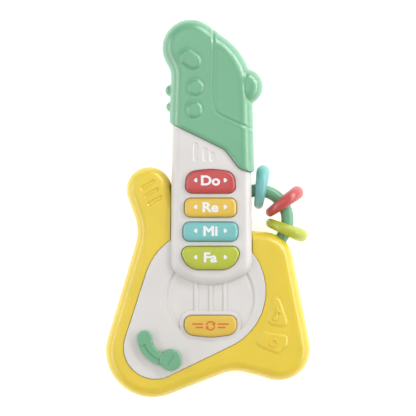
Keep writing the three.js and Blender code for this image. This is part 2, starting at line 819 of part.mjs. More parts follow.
const yellow = plastic(0xe8c24a);
const white = plastic(0xe2dcd4);
const softGreen = plastic(0x7cc09c, 0.55);
const green = plastic(0x76b894);
const rubber = plastic(0xb9bcbc, 0.8);
const boardGreen = plastic(0x2e6b4a, 0.5);
const black = plastic(0x2b2b2e, 0.5);
const paper = plastic(0x3c3a38, 0.9);
const wireCover = plastic(0xb03030, 0.5);
const cellCover = plastic(0x5d7f9c, 0.35);
const steel = new THREE.MeshStandardMaterial({ color: 0xb8bcc0, roughness: 0.35, metalness: 1 });
const KEY_COLOURS = { key_do: 0xc8393c, key_re: 0xdcb23a, key_mi: 0x5cb6ba, key_fa: 0xacb92e };

// ---- The assembly ----

const guitar = new THREE.Group();

function place(parent, name, piece, material, position = [0, 0, 0]) {
  const mesh = piece.getMesh();
  const geometry = new THREE.BufferGeometry();
  geometry.setAttribute("position", new THREE.BufferAttribute(mesh.vertProperties, 3));
  geometry.setIndex(new THREE.BufferAttribute(mesh.triVerts, 1));
  geometry.computeVertexNormals();
  const node = new THREE.Mesh(geometry, material);
  node.name = name;
  node.position.set(...position);
  parent.add(node);
  return node;
}

function section(parent) {
  const group = new THREE.Group();
  parent.add(group);
  return group;
}

const housing = section(guitar);
place(housing, "body_rear_shell", bodyRearShell(), yellow);
place(housing, "body_front_shell", bodyFrontShell(), yellow);
place(housing, "neck_rear_shell", neckRearShell(), white);
place(housing, "neck_face_plate", neckFacePlate(), white);
place(housing, "headstock_teether", headstockTeether(), softGreen);

const keyboard = section(guitar);
for (const [name, outline] of Object.entries(KEY_OUTLINES)) {
  place(keyboard, name, key(outline), plastic(KEY_COLOURS[name]));
}
place(keyboard, "key_mat", keyMat(), rubber);
place(keyboard, "key_circuit_board", keyCircuitBoard(), boardGreen);

const controls = section(guitar);
place(controls, "mode_button", modeButton(), yellow);
place(controls, "mode_dome", modeDome(), rubber);
place(controls, "main_circuit_board", mainCircuitBoard(), boardGreen);
place(controls, "whammy_lever", whammyLever(), green);
place(controls, "lever_cam", leverCam(), black);
place(controls, "lever_switch", leverSwitch(), black);
place(controls, "lever_screw", screw(LEVER_SCREW), steel, [LEVER.x, LEVER.y, 25.2]);

const rattle = section(guitar);
place(rattle, "rattle_arc", rattleArc(), green);
for (const { name, colour, x, y, turn } of RINGS) {
  const ring = place(rattle, name, rattleRing(), plastic(colour), [x, y, RING.z]);
  ring.rotation.z = THREE.MathUtils.degToRad(turn);
}

const speaker = section(guitar);
speaker.position.set(SPEAKER.x, SPEAKER.y, SPEAKER.back);
place(speaker, "speaker_basket", speakerBasket(), steel);
place(speaker, "speaker_cone", speakerCone(), paper);
place(speaker, "speaker_magnet", speakerMagnet(), steel);

const power = section(guitar);
place(power, "battery_1", battery(), cellCover, [CELL.x, CELL.y[0], CELL.z]);
const turnedCell = place(power, "battery_2", battery(), cellCover, [CELL.end, CELL.y[1], CELL.z]);
turnedCell.rotation.z = Math.PI;
place(power, "battery_bridge", batteryBridge(), steel);
place(power, "battery_positive", batteryPositive(), steel);
place(power, "battery_negative", batteryNegative(), steel);
place(power, "battery_door", batteryDoor(), yellow);
place(power, "battery_door_screw", screw(DOOR_SCREW), steel, [DOOR.tabX, DOOR.tabY, 0.4]);
place(power, "power_switch_slider", powerSwitchSlider(), black, [SWITCH.x, SWITCH.y, 0]);
place(power, "power_switch_body", powerSwitchBody(), black);

const leads = section(guitar);
for (const [name, [leadSection, route]] of Object.entries(LEADS)) {
  place(leads, name, sweep(leadSection, route, 8), wireCover);
}

const fasteners = section(guitar);
const SCREW_SETS = [
  ["body_screw", BODY_SCREWS, LONG_SCREW, SCREW_STEP - LONG_SCREW[1] - GAP],
  ["neck_screw", NECK_SCREWS, LONG_SCREW, NECK_STEP - LONG_SCREW[1] - GAP],
  ["key_board_screw", KEY_BOARD_SCREWS, BOARD_SCREW, KEY_BOARD - BOARD_SCREW[1] - GAP],
  ["main_board_screw", MAIN_BOARD_SCREWS, BOARD_SCREW, MAIN_BOARD - BOARD_SCREW[1] - GAP],
];
for (const [name, places, size, z] of SCREW_SETS) {
  places.forEach(([x, y], i) => place(fasteners, `${name}_${i + 1}`, screw(size), steel, [x, y, z]));
}

export default guitar;
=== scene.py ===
"""Looks of the toy electric guitar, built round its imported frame.

Lengths are in millimetres in the row frame: +Z comes out of the front face, +Y runs up the neck to
the headstock, +X is to the right. Meshes are turned into metres when they are made.
"""

import math

import bmesh
import bpy
import numpy as np
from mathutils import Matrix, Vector


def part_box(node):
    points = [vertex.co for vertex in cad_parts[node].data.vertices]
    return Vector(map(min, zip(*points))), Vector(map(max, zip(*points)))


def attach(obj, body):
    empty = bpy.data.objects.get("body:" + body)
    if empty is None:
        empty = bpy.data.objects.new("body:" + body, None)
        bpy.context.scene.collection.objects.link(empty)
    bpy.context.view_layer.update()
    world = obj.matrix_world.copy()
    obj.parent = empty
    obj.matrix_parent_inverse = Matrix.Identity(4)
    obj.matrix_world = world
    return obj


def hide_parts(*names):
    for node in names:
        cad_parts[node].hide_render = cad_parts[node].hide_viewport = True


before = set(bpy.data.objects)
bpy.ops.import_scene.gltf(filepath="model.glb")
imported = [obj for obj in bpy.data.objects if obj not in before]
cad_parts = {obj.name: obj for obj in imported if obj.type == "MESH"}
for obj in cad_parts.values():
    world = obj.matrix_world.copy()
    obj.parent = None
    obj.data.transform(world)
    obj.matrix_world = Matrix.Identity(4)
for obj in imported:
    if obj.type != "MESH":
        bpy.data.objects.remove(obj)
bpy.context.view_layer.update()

MM = 0.001

# ---- Driving dimensions ----

GAP = 0.3  # clearance between neighbouring pieces
WALL = 2.2  # thickness of the moulded shells
SEAM_EDGE = 0.35  # bevel along a parting line
OVERLAP = 0.05  # how far a relief's foot reaches below the face it stands on
SKIM = 0.01  # how far a shallow cutter's edge passes the face
CLEAR = 4  # how far a cutter sticks out of the face that it opens
FAR = 90  # past the neck on every side
BEYOND_HEAD = 200  # past the headstock
ARC_STEP = math.radians(6)  # turn between the points of an outline's arc

BODY_TOP = 31.0
BODY_SEAM = 18.0
PLATE_TOP = 31.6
NECK_BACK = 7.0
NECK_SEAM = 20.0
NECK_FRONT = 35.5
HEAD_BACK = 4.5
HEAD_TOP = 37.5
KEY_FOOT = 31.0
KEY_TOP = 38.0
MODE_FOOT = 27.3
MODE_TOP = 34.0
LEVER_BACK = 31.9
LEVER_TOP = 35.5

# ---- Outlines ----
# An outline is a belt round circles taken counter-clockwise, [x, y, radius]. A positive radius is a
# bulge and a negative one a hollow.

BODY = [(-38.5, -36, 31.1), (17, -76.6, -27), (45.4, -34.8, 21), (35, 22.9, 20), (2, 72, -26),
        (-40.9, 71.2, 15), (-79.7, 43, -31)]
PLATE = [(-3.9, 4, 40.4), (-36.5, -33.4, 20.9)]
NECK = [(-14.7, 24.1, 12), (0.4, 46.7, 39), (15.7, 24.1, 12), (17.4, 141, 9), (-15.9, 141, 9)]
HEAD_MOUTH = [(-24.5, 117.3, 3), (3.1, 89.3, -10), (23.9, 91.5, 8), (26.7, 85, 2.5),
              (-15.5, 136.5, 43.3), (-13, 165, 19), (-40.2, 146, -14)]
HEAD_CORE = [(-21.1, 70, 8), (21.9, 60, 8), (-15.5, 136.5, 43.3), (-13, 165, 19), (-40.2, 146, -14)]
MODE = [(-10.6, -18.5, 6.7), (0, 5.4, 31.7), (10.6, -18.5, 6.7), (12.4, -16.9, 4.8), (-12.4, -16.9, 4.8)]


def rounded_box(left, right, low, high, radius):
    return [(left + radius, low + radius, radius), (right - radius, low + radius, radius),
            (right - radius, high - radius, radius), (left + radius, high - radius, radius)]


def capsule(x1, y1, x2, y2, radius):
    return [(x1, y1, radius), (x2, y2, radius)]


def grow(circles, amount):
    return [(x, y, radius + amount) for x, y, radius in circles]


KEYS = {
    "key_do": [(-12, 73.1, 4.3), (12, 73.1, 4.3), (9.3, 76.6, 6.7), (0, 55.5, 28.7), (-9.3, 76.6, 6.7)],
    "key_re": rounded_box(-17.1, 17.1, 53, 65.3, 4.2),
    "key_mi": rounded_box(-18, 18, 37.1, 49.5, 4.3),
    "key_fa": [(-7.4, 29.5, 11.2), (7.4, 29.5, 11.2), (14.2, 28.8, 4.7), (-14.2, 28.8, 4.7)],
}
TILES = [
    [(40.9, -15.4, 2.5), (47.7, -16.6, 2.5), (43.3, -3.4, 2.5)],
    [(33.6, -29.9, 2.5), (44.4, -34.4, 2.5), (47.6, -31, 2.5), (48.3, -28, 2.5), (36.5, -26.3, 2.5)],
]


class Outline:
    """Points round a closed outline, counter-clockwise, and the way out at each."""

    def __init__(self, places, outward):
        self.places = np.array(places, float)
        self.outward = np.array(outward, float)

    def grown(self, amount):
        return self.places + self.outward * amount


def belt(circles):
    directions = []
    for i, (x2, y2, r2) in enumerate(circles):
        x1, y1, r1 = circles[i - 1]
        distance = math.hypot(x2 - x1, y2 - y1)
        directions.append(math.atan2(y2 - y1, x2 - x1) - math.asin((r2 - r1) / distance))
    places, outward = [], []
    for i, (x, y, radius) in enumerate(circles):
        start = directions[i]
        sweep = (directions[(i + 1) % len(circles)] - start) % math.tau
        if radius < 0:
            sweep -= math.tau
        steps = max(2, math.ceil(abs(sweep) / ARC_STEP))
        for k in range(steps + 1):
            turn = start + sweep * k / steps
            way = (math.sin(turn), -math.cos(turn))
            places.append((x + radius * way[0], y + radius * way[1]))
            outward.append(way)
    return Outline(places, outward)


def disc(x, y, radius, steps=48):
    turns = [math.tau * k / steps for k in range(steps)]
    ways = [(math.cos(t), math.sin(t)) for t in turns]
    return Outline([(x + radius * cx, y + radius * cy) for cx, cy in ways], ways)


def sharp_outline(corners):
    """An outline that is never grown."""
    return Outline(corners, np.zeros((len(corners), 2)))


def smooth_outline(places):
    """A smooth closed outline of any shape, from points that run counter-clockwise."""
    places = np.array(places, float)
    along = np.roll(places, -1, axis=0) - np.roll(places, 1, axis=0)
    along /= np.linalg.norm(along, axis=1)[:, None]
    return Outline(places, np.stack([along[:, 1], -along[:, 0]], axis=1))


def counter_clockwise(corners):
    closed = corners + corners[:1]
    twice_area = sum(a[0] * b[1] - b[0] * a[1] for a, b in zip(closed, closed[1:]))
    return corners if twice_area > 0 else corners[::-1]


def arc_points(x, y, radius, start, sweep, steps):
    """Points along part of a circle. Angles in degrees."""
    turns = [math.radians(start + sweep * k / steps) for k in range(steps + 1)]
    return [(x + radius * math.cos(t), y + radius * math.sin(t)) for t in turns]


# ---- Profiles: lists of (growth of the outline, z), lowest first ----

def quarter_turn(steps):
    return [math.pi / 2 * k / steps for k in range(steps + 1)]


def rounded_top(z, across, down, steps=8):
    """An upright wall that turns into a flat top at z."""
    return [(across * (math.cos(t) - 1), z - down + down * math.sin(t)) for t in quarter_turn(steps)]


def rounded_foot(z, across, up, steps=8):
    """A flat foot at z that turns into an upright wall."""
    return [(g, 2 * z - h) for g, h in reversed(rounded_top(z, across, up, steps))]


def soft_ramp(start, end, low, height, steps=10):
    """A climb from one level to another, with a hollow foot and a round shoulder."""
    shares = [k / steps for k in range(1, steps + 1)]
    return [(start + (end - start) * t, low + height * t * t * (3 - 2 * t)) for t in shares]


def widened(profile, amount):
    return [(g + amount, z) for g, z in profile]


# ---- Meshes ----

def add_object(name, places, faces):
    mesh = bpy.data.meshes.new(name)
    mesh.from_pydata([tuple(MM * c for c in p) for p in places], [], faces)
    mesh.validate()
    piece = bpy.data.objects.new(name, mesh)
    bpy.context.scene.collection.objects.link(piece)
    return piece


def loft(name, rings, closed=False):
    """A solid through rings of 3-D points, all with the same number, with a flat cap at each end."""
    count = len(rings[0])
    places = [tuple(p) for ring in rings for p in ring]
    faces = []
    spans = len(rings) if closed else len(rings) - 1
    for i in range(spans):
        low = i * count
        high = ((i + 1) % len(rings)) * count
        for k in range(count):
            n = (k + 1) % count
            faces.append((low + k, low + n, high + n, high + k))
    if not closed:
        faces.append(tuple(reversed(range(count))))
        faces.append(tuple(range(len(places) - count, len(places))))
    return add_object(name, places, faces)


def stack(name, outline, profile):
    """The outline raised through a profile."""
    rings = []
    for growth, z in profile:
        flat = outline.grown(growth)
        rings.append(np.column_stack([flat, np.full(len(flat), z)]))
    return loft(name, rings)


def block(left, right, low, high, back, front):
    corners = [(left, low), (right, low), (right, high), (left, high)]
    return stack("block", sharp_outline(corners), [(0, back), (0, front)])


def raised(name, outline, ramp, face, height, root=1.0, steps=10):
    """A relief on a face. Its side runs from ramp[0] at the face to ramp[1] at its top."""
    foot = [(ramp[0], face - root), (ramp[0], face - OVERLAP)]
    return stack(name, outline, foot + soft_ramp(*ramp, face, height, steps))


def sunk(outline, ramp, face, depth, steps=8):
    """A cutter for a shallow dish. Its side runs from ramp[0] at the floor to ramp[1] at the face."""
    floor = face - depth
    side = soft_ramp(*ramp, floor, depth + SKIM, steps)
    return stack("cutter", outline, [(ramp[0], floor - SKIM)] + side + [(ramp[1], face + CLEAR)])


def hole(outline, floor, face, lip=0.4):
    """A cutter for a pocket down from a face, with a rounded lip."""
    opening = [(lip * (1 - math.cos(t)), face - lip + lip * math.sin(t)) for t in quarter_turn(5)]
    return stack("cutter", outline, [(0, floor)] + opening + [(lip, face + CLEAR)])


def hole_from_back(outline, floor, lip=0.4):
    """The same for a pocket that goes up from the back face at z 0."""
    opening = [(lip * (1 - math.sin(t)), lip * (1 - math.cos(t))) for t in quarter_turn(5)]
    return stack("cutter", outline, [(lip, -CLEAR)] + opening + [(0, floor)])


def combine(piece, tools, operation):
    """Joins tools to the piece, or cuts them out of it, one after another, and deletes them."""
    for tool in tools:
        modifier = piece.modifiers.new("combine", "BOOLEAN")
        modifier.object = tool
        modifier.operation = operation
        modifier.solver = "MANIFOLD"
        apply_modifiers(piece)
        bpy.data.objects.remove(tool)
    return piece


def apply_modifiers(piece):
    graph = bpy.context.evaluated_depsgraph_get()
    mesh = bpy.data.meshes.new_from_object(piece.evaluated_get(graph))
    piece.modifiers.clear()
    piece.data = mesh
    return piece


def cut(piece, *tools):
    return combine(piece, tools, "DIFFERENCE")


def join(piece, *tools):
    return combine(piece, tools, "UNION")


def keep(piece, tool):
    return combine(piece, [tool], "INTERSECT")


def finish_piece(piece, name, material, body, slot, *replaced, sharp=38):
    """Smooths a piece's shading, gives it its material and body and hides the nodes it stands for. Its slot
    is not used.
    """
    piece.name = piece.data.name = name
    mesh = piece.data
    mesh.materials.clear()
    mesh.materials.append(material)
    for face in mesh.polygons:
        face.use_smooth = True
        face.material_index = 0
    mesh.set_sharp_from_angle(angle=math.radians(sharp))
    weighted = piece.modifiers.new("weighted_normals", "WEIGHTED_NORMAL")
    weighted.keep_sharp = True
    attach(piece, body)
    if replaced:
        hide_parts(*replaced)
    return piece


# ---- Materials ----

PAINTED_SHADE_REACH = 1.6  # how far from a corner the painted shade reaches, mm
GRAIN_HEIGHT = 0.1  # mm
MIX_FACTOR, MIX_A, MIX_B, MIX_RESULT = 0, 6, 7, 2  # the colour sockets of a Mix node


def new_material(name):
    material = bpy.data.materials.new(name)
    material.use_nodes = True
    tree = material.node_tree
    return material, tree, tree.nodes["Principled BSDF"]


def object_place(tree):
    return tree.nodes.new("ShaderNodeTexCoord").outputs["Object"]


def shade(colour, factor):
    return tuple(min(1.0, c * factor) for c in colour) + (1.0,)


def add_noise(tree, place, scale, detail):
    noise = tree.nodes.new("ShaderNodeTexNoise")
    noise.inputs["Scale"].default_value = scale
    noise.inputs["Detail"].default_value = detail
    tree.links.new(place, noise.inputs["Vector"])
    return noise.outputs["Fac"]


def drifting_colour(tree, place, colour):
    """The colour with slow, cloudy changes of a few per cent."""
    tint = tree.nodes.new("ShaderNodeValToRGB")
    low, high = tint.color_ramp.elements
    low.position = 0.35
    low.color = shade(colour, 0.965)
    high.position = 0.65
    high.color = shade(colour, 1.025)
    tree.links.new(add_noise(tree, place, 35, 3), tint.inputs["Fac"])
    return tint.outputs["Color"]


# Painted shade: an ambient-occlusion node darkens the colour near corners and in crevices, where shade
# falls.
def painted_crevice_shade(tree, colour, painted_shade_colour):
    shade_occlusion = tree.nodes.new("ShaderNodeAmbientOcclusion")
    shade_occlusion.samples = 6
    shade_occlusion.only_local = False
    shade_occlusion.inputs["Distance"].default_value = PAINTED_SHADE_REACH * MM
    shaded_colour = tree.nodes.new("ShaderNodeMix")
    shaded_colour.data_type = "RGBA"
    shaded_colour.inputs[MIX_A].default_value = painted_shade_colour
    tree.links.new(shade_occlusion.outputs["AO"], shaded_colour.inputs[MIX_FACTOR])
    tree.links.new(colour, shaded_colour.inputs[MIX_B])
    return shaded_colour.outputs[MIX_RESULT]


def uneven_gloss(tree, shader, noise, noise_range, roughness):
    """Roughness that follows a noise: its noise_range is spread over the two limits of roughness."""
    gloss = tree.nodes.new("ShaderNodeMapRange")
    gloss.inputs["From Min"].default_value = noise_range[0]
    gloss.inputs["From Max"].default_value = noise_range[1]
    gloss.inputs["To Min"].default_value = roughness[0]
    gloss.inputs["To Max"].default_value = roughness[1]
    tree.links.new(noise, gloss.inputs["Value"])
    tree.links.new(gloss.outputs["Result"], shader.inputs["Roughness"])


def fine_grain(tree, shader, place, strength, size):
    bump = tree.nodes.new("ShaderNodeBump")
    bump.inputs["Strength"].default_value = strength
    bump.inputs["Distance"].default_value = GRAIN_HEIGHT * MM
    tree.links.new(add_noise(tree, place, 1 / (size * MM), 2), bump.inputs["Height"])
    tree.links.new(bump.outputs["Normal"], shader.inputs["Normal"])


def moulded(name, colour, roughness=0.34, grain=0.05, grain_size=0.5, coat=0.4, soft=0.0,
            scatter=(2, 2, 2), crevice_shade=0.72):
    """Moulded plastic: slow drift of colour, cloudy gloss, fine grain and painted shade in the crevices."""
    material, tree, shader = new_material(name)
    place = object_place(tree)
    colours = drifting_colour(tree, place, colour)
    # Painted shade in the crevices, taken from ambient occlusion.
    colours = painted_crevice_shade(tree, colours, shade(colour, crevice_shade))
    tree.links.new(colours, shader.inputs["Base Color"])
    handling = add_noise(tree, place, 160, 5)
    uneven_gloss(tree, shader, handling, (0.3, 0.7), (roughness - 0.05, roughness + 0.07))
    fine_grain(tree, shader, place, grain, grain_size)
    shader.inputs["Coat Weight"].default_value = coat
    shader.inputs["Coat Roughness"].default_value = 0.34
    shader.inputs["Coat IOR"].default_value = 1.8
    shader.inputs["Specular IOR Level"].default_value = 0.8
    if soft:
        shader.inputs["Subsurface Weight"].default_value = soft
        shader.inputs["Subsurface Radius"].default_value = [MM * reach for reach in scatter]
    return material


def printed(name, colour):
    """Pad-printed ink: nearly flat, with a slightly uneven film."""
    # The ink gets a weak painted shade in its crevices.
    return moulded(name, colour, roughness=0.5, grain=0.02, grain_size=0.3, coat=0, crevice_shade=0.9)


def metal(name, colour, roughness):
    """Plated steel with fine brushing along X."""
    material, tree, shader = new_material(name)
    stretch = tree.nodes.new("ShaderNodeMapping")
    stretch.inputs["Scale"].default_value = (300, 6000, 6000)
    tree.links.new(object_place(tree), stretch.inputs["Vector"])
    brushing = add_noise(tree, stretch.outputs["Vector"], 1, 2)
    uneven_gloss(tree, shader, brushing, (0, 1), (roughness - 0.1, roughness + 0.15))
    shader.inputs["Base Color"].default_value = shade(colour, 1)
    shader.inputs["Metallic"].default_value = 1
    return material


YELLOW = moulded("yellow_plastic", (0.85, 0.64, 0.032), coat=0.3, soft=0.25, scatter=(3, 1.2, 0.3))
AMBER = moulded("amber_plastic", (0.80, 0.54, 0.05), roughness=0.33)
WHITE = moulded("white_plastic", (0.763, 0.742, 0.722), roughness=0.4)
SOFT_GREEN = moulded("soft_green", (0.13, 0.445, 0.232), roughness=0.42, coat=1.0, soft=0.1)
GREEN = moulded("green_plastic", (0.15, 0.44, 0.24))
RED = moulded("red_plastic", (0.58, 0.05, 0.05), roughness=0.33)
BLUE = moulded("blue_plastic", (0.178, 0.55, 0.54), roughness=0.33)
LIME = moulded("lime_plastic", (0.49, 0.56, 0.022), roughness=0.33)
INK_WHITE = printed("white_ink", (0.92, 0.92, 0.92))
INK_ORANGE = printed("orange_ink", (0.76, 0.14, 0.015))
RUBBER = moulded("grey_rubber", (0.42, 0.43, 0.43), roughness=0.75, coat=0)
BOARD = moulded("board_green", (0.02, 0.13, 0.06), roughness=0.4)
BLACK = moulded("black_plastic", (0.02, 0.02, 0.022), roughness=0.5, grain=0.2)
PAPER = moulded("cone_paper", (0.03, 0.028, 0.026), roughness=0.9, grain=0.5, coat=0)
WIRE = moulded("wire_cover", (0.42, 0.02, 0.02), roughness=0.45)
CELL = moulded("cell_wrap", (0.08, 0.2, 0.34), roughness=0.3)
STEEL = metal("plated_steel", (0.62, 0.63, 0.64), 0.3)


# ---- Rattle arc and its rings ----

ARC_CENTRE = (31.7, 51, 18)
ARC_RADIUS = 19.7
ARC_TUBE = 4.2
ARC_COLLAR = 5.2
RING_OUTER, RING_THICK, RING_THIN = 14.85, 4.6, 3.0
RING_HEIGHT = 15.4
RINGS = {"blue": (33.8, 73, 82, BLUE), "red": (49.35, 63.05, 36, RED), "lime": (50.9, 44.5, -21.5, LIME)}


def arc_bar(name, tube, start, end, steps, sides=28):
    """A round bar along part of the rattle's arc. Angles in degrees."""
    x, y, z = ARC_CENTRE
    rings = []
    for i in range(steps + 1):
        turn = math.radians(start + (end - start) * i / steps)
        ring = []
        for k in range(sides):
            side = -math.tau * k / sides
            reach = ARC_RADIUS + tube * math.cos(side)
            ring.append((x + reach * math.cos(turn), y + reach * math.sin(turn), z + tube * math.sin(side)))
        rings.append(ring)
    return loft(name, rings)


def arc_way_in_body():
    return arc_bar("arc", ARC_TUBE + GAP, -60, 40, 40)


def arc_way_in_neck():
    return arc_bar("arc", ARC_TUBE + GAP, 90, 130, 30)


def tapered_ring(x, y, turn, steps=80, sides=36):
    """A ring that stands upright, thick at its far side and thin at the near one."""
    mean, swell = (RING_THICK + RING_THIN) / 2, (RING_THICK - RING_THIN) / 2
    rings = []
    for i in range(steps):
        round_turn = math.tau * i / steps
        tube = mean + swell * math.cos(round_turn)
        ring = []
        for k in range(sides):
            side = math.tau * k / sides
            reach = RING_OUTER - tube + tube * math.cos(side)
            away = reach * math.cos(round_turn)
            aside = tube * math.sin(side)
            ring.append((x + away * math.cos(turn) - aside * math.sin(turn),
                         y + away * math.sin(turn) + aside * math.cos(turn),
                         RING_HEIGHT + reach * math.sin(round_turn)))
        rings.append(ring)
    return loft("ring", rings, closed=True)


def make_rattle():
    bar = arc_bar("arc", ARC_TUBE, -56, 127, 90, 40)
    for start in (-57, 122):
        join(bar, arc_bar("collar", ARC_COLLAR, start, start + 6, 4, 40))
    finish_piece(bar, "rattle_arc_bar", GREEN, "housing", "green_plastic", "rattle_arc")
    for colour, (x, y, turn, material) in RINGS.items():
        finish_piece(tapered_ring(x, y, math.radians(turn)), "ring_" + colour, material,
                     "ring_" + colour, colour + "_plastic", "rattle_ring_" + colour, sharp=60)


# ---- Body ----

TILE_RISE = 0.8
TILE_RAMP = (1.3, -0.9)
NOTE_HEAD = (42.8, -13.9, 1.8)
NOTE_STEM = (43.9, -13.6, 43.7, -7.4, 0.75)
NOTE_FLAG = (43.7, -7.4, 45.5, -10.2, 0.75)
TILE_RING = (41.8, -30.1, 3.0, 1.4)  # x, y, outer and inner radius
HORN_SLOTS = [(-44.9, 71.8, -37.9, 76.4), (-42.6, 67.1, -35.5, 71.1), (-40.4, 61.6, -33, 66.2)]
SLOT_HALF, SLOT_DEPTH = 0.9, 0.75
BODY_SCREWS = [(-42, 68), (-50.5, 8), (-44, -59.4), (-8, -48), (58, -38), (44, 20)]
POST = 3.9  # radius of the post round a body screw
SCREW_WELL = 2.9  # radius of the well that a screw's head sits in
SCREW_BORE = 1.5
DOOR = (-8, 45, -38, -8)  # left, right, low, high
DOOR_TAB = (49, -23, 4.5)
BAY = (-6, 43, -35.2, -10.8, 13.6)  # left, right, low, high, roof
BAY_WALL = 1.6
SPEAKER = (-35, -32)
SPEAKER_WALL, SPEAKER_BORE = 20, 18.3  # radii
GRILLE_ROWS = range(-2, 3)
SWITCH = (-37, 30)
SWITCH_HALF, SWITCH_REACH = 2.8, 4.8  # half width and half length of the switch's opening


def body_shell_front():
    outline = belt(BODY)
    seam = BODY_SEAM + GAP / 2
    foot = [(-SEAM_EDGE, seam), (0, seam + SEAM_EDGE)]
    shell = stack("shell", outline, foot + rounded_top(BODY_TOP, 7.5, 9, 16))
    for tile in TILES:
        join(shell, raised("tile", belt(tile), TILE_RAMP, BODY_TOP, TILE_RISE))
    join(shell, *tile_reliefs(BODY_TOP + TILE_RISE))
    ceiling = rounded_top(BODY_TOP - WALL, 5.5, 6.5, 6)
    inner = stack("hollow", outline, [(-WALL, seam - 1)] + widened(ceiling, -WALL))
    opening = hole(belt(grow(PLATE, GAP / 2)), 20, BODY_TOP, 0.5)
    neck = stack("neck", belt(NECK), [(GAP, 5), (GAP, 60)])
    slots = [sunk(belt(capsule(*ends, SLOT_HALF)), (-0.4, 0.8), BODY_TOP, SLOT_DEPTH)
             for ends in HORN_SLOTS]
    return cut(shell, inner, opening, neck, arc_way_in_body(), *slots)


def tile_reliefs(face):
    """A small note on the upper tile and a ring on the lower one."""
    x, y, outer, inner = TILE_RING
    shapes = [disc(*NOTE_HEAD, 28), belt(capsule(*NOTE_STEM)), belt(capsule(*NOTE_FLAG)),
              disc(x, y, outer, 40)]
    reliefs = [raised("relief", shape, (0.3, -0.3), face, 0.5, steps=6) for shape in shapes]
    cut(reliefs[-1], hole(disc(x, y, inner, 24), face - 2, face + 0.45))
    return reliefs


def body_shell_rear():
    outline = belt(BODY)
    seam = BODY_SEAM - GAP / 2
    rim = [(0, seam - SEAM_EDGE), (-SEAM_EDGE, seam)]
    shell = stack("shell", outline, rounded_foot(0, 5, 5, 10) + rim)
    floor = rounded_foot(WALL, 3, 3, 5)
    cut(shell, stack("hollow", outline, widened(floor, -WALL) + [(-WALL, seam + 1)]))
    join(shell, *rear_posts(seam - 0.2), *rear_walls())
    neck = stack("neck", belt(NECK), neck_profile(GAP))
    return cut(shell, *door_cutters(), *grille_cutters(), *screw_cutters(), switch_cutter(),
               neck, arc_way_in_body())


def rear_posts(top):
    x, y, tab = DOOR_TAB
    posts = [stack("post", disc(*place, POST, 24), [(0, 1), (0, top)]) for place in BODY_SCREWS]
    posts.append(stack("post", disc(x, y, tab + BAY_WALL, 32), [(0, 1), (0, 12)]))
    return posts


def rear_walls():
    """The walls of the battery bay, of the door's rim and round the speaker."""
    left, right, low, high, roof = BAY
    bay = block(left - BAY_WALL, right + BAY_WALL, low - BAY_WALL, high + BAY_WALL, 1, roof + BAY_WALL)
    left, right, low, high = DOOR
    door_rim = block(left - BAY_WALL, right + BAY_WALL, low - BAY_WALL, high + BAY_WALL, 1, 5)
    speaker = stack("wall", disc(*SPEAKER, SPEAKER_WALL), [(0, 1), (0, 6)])
    cut(speaker, stack("bore", disc(*SPEAKER, SPEAKER_BORE), [(0, 0), (0, 7)]))
    return [bay, door_rim, speaker]


def door_cutters():
    left, right, low, high, roof = BAY
    bay = block(left, right, low, high, -1, roof)
    left, right, low, high = DOOR
    x, y, tab = DOOR_TAB
    recess = hole_from_back(belt(rounded_box(left, right, low, high, 1.2)), 2.3, 0.3)
    tab_way = hole_from_back(belt(capsule(right - 4, y, x, y, tab + GAP)), 4.3, 0.3)
    bore = stack("bore", disc(x, y, SCREW_BORE, 20), [(0, 0), (0, 11.5)])
    return [bay, recess, tab_way, bore]


def grille_cutters():
    x, y = SPEAKER
    cutters = []
    for row in GRILLE_ROWS:
        half = 13 - 2 * abs(row)
        slot = capsule(x - half, y + 5 * row, x + half, y + 5 * row, 1.2)
        cutters.append(hole_from_back(belt(slot), 4))
    return cutters


def screw_cutters():
    cutters = []
    for place in BODY_SCREWS:
        cutters.append(hole_from_back(disc(*place, SCREW_WELL, 32), 10, 0.35))
        cutters.append(stack("bore", disc(*place, SCREW_BORE, 20), [(0, 1), (0, 30)]))
    return cutters


def switch_cutter():
    x, y = SWITCH
    opening = rounded_box(x - SWITCH_HALF, x + SWITCH_HALF, y - SWITCH_REACH, y + SWITCH_REACH, 0.6)
    return hole_from_back(belt(opening), 4, 0.3)


# ---- Neck and its plate ----

SPIGOT_BACK, SPIGOT_FRONT, SPIGOT_INSET = 9, 33.2, 3
SPIGOT_HOLLOW = (-5.2, 11.2, 31)  # growth, back and front of the hollow in the spigot
WIDE_END = 80  # how far up the neck its full hollow reaches
NECK_SCREW = (0, 108)
LEAD_SLOT = (-5, 5, 5, 12, 15.5, 60)
SOUND_HOLE = 28.2  # radius
SOUND_HOLE_DEPTH = 0.6
GUTTER = 0.32  # extra depth of the channel along the sound hole's rim
STRINGS = [-9.6, 0.2, 9.6]
STRING_HALF, STRING_LOW, STRING_HIGH = 1.25, -14, 12
PLATE_BACK, RIB_FOOT = 29.4, 29.8
BEZEL_RISE = 0.35
NECK_BARS = [(-9.7, 102.1), (-3.5, 99.0), (1.3, 96.1)]  # x, upper end
BAR_LOW, BAR_HALF, BAR_DEPTH = 91.2, 1.7, 0.6
LEVER_HUB = (-26.3, -41.5, 7.1)


def neck_profile(extra=0.0):
    back = rounded_foot(NECK_BACK - extra, 5.5, 5.5, 8)
    front = rounded_top(NECK_FRONT + extra, 6, 6, 14)
    return widened(back + front, extra)


def spigot(extra):
    """The part of the neck that the cap slips over."""
    back = rounded_foot(SPIGOT_BACK - extra, 2.5, 2.5, 4)
    front = rounded_top(SPIGOT_FRONT + extra, 2.5, 2.5, 4)
    return stack("spigot", belt(NECK), widened(back + front, extra - SPIGOT_INSET))


def neck_solid():
    """The whole neck, which steps in where the cap slips over it."""
    neck = stack("neck", belt(NECK), neck_profile())
    under_cap = stack("cap", belt(HEAD_MOUTH), [(GAP, -5), (GAP, 60)])
    return join(cut(neck, under_cap), spigot(0))


